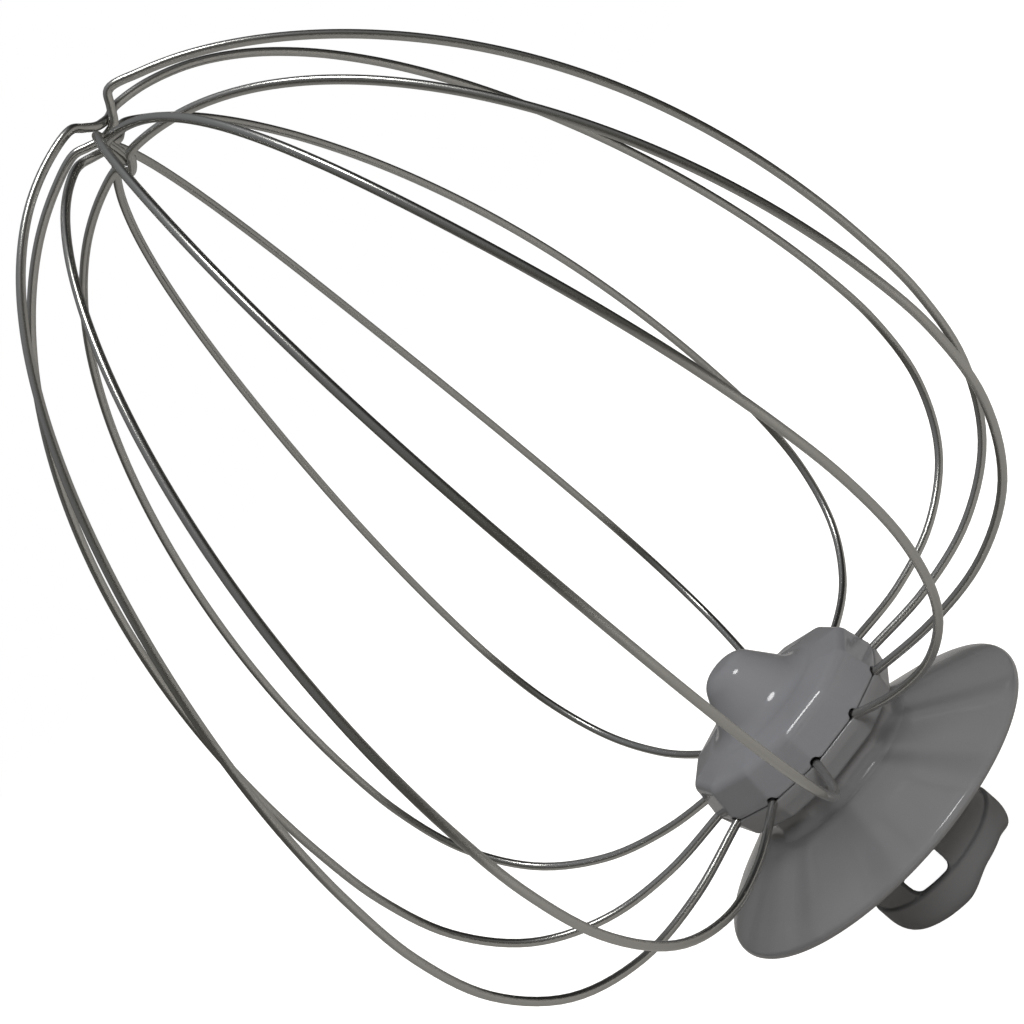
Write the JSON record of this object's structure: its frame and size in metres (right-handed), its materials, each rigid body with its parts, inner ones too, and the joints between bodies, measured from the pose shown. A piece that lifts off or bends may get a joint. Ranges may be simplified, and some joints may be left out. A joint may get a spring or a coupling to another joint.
{
  "type": "stand mixer wire whip",
  "caption": "Balloon-shaped wire whip with a faceted hub, conical drip disc and bayonet shaft socket.",
  "frame": {"origin": "centre of the shaft socket's open end, in the plane that the whip stands on", "axes": "+Z along the whip's axis from the socket's open end to the tip of the balloon; the first wire loop lies in the plane of Y and Z"},
  "size_m": [0.1057, 0.1077, 0.1472],
  "materials": {
    "grey_plastic": "glossy moulded mid grey",
    "steel_wire": "polished stainless steel wire"
  },
  "bodies": {
    "root": {"shaft_socket": "grey_plastic", "drip_disc": "grey_plastic", "hub_base": "grey_plastic", "hub_cap": "grey_plastic", "wire_loop_1": "steel_wire", "wire_loop_2": "steel_wire", "wire_loop_3": "steel_wire", "wire_loop_4": "steel_wire", "wire_loop_5": "steel_wire", "wire_loop_6": "steel_wire"}
  },
  "joints": []
}
